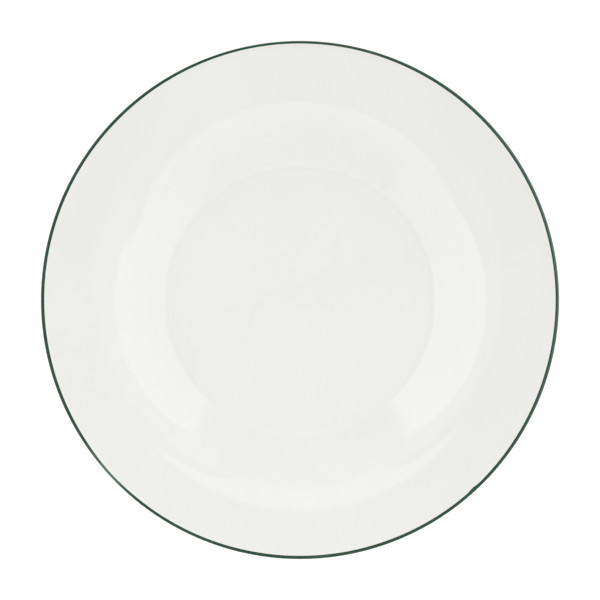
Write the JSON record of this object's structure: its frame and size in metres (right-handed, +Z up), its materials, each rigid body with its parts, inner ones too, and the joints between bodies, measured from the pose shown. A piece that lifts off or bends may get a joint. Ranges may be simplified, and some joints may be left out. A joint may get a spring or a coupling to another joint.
{
  "type": "dinner plate",
  "caption": "Round china dinner plate with a flat well, sloping wall, wide shallow rim and low foot ring, glazed white with a thin green line fired round the lip.",
  "frame": {"origin": "middle of the foot ring, on the table", "axes": "+Z up out of the well, along the plate's axis of symmetry; X and Y are alike"},
  "size_m": [0.2701, 0.27, 0.0267],
  "materials": {
    "fired_clay": "matte",
    "bare_foot": "matte",
    "clear_glaze": "polished",
    "green_enamel": "gloss"
  },
  "bodies": {
    "root": {"plate_body": "fired_clay", "foot_ring": "bare_foot", "front_glaze": "clear_glaze", "rim_line": "green_enamel", "back_glaze": "clear_glaze", "base_glaze": "clear_glaze"}
  },
  "joints": []
}
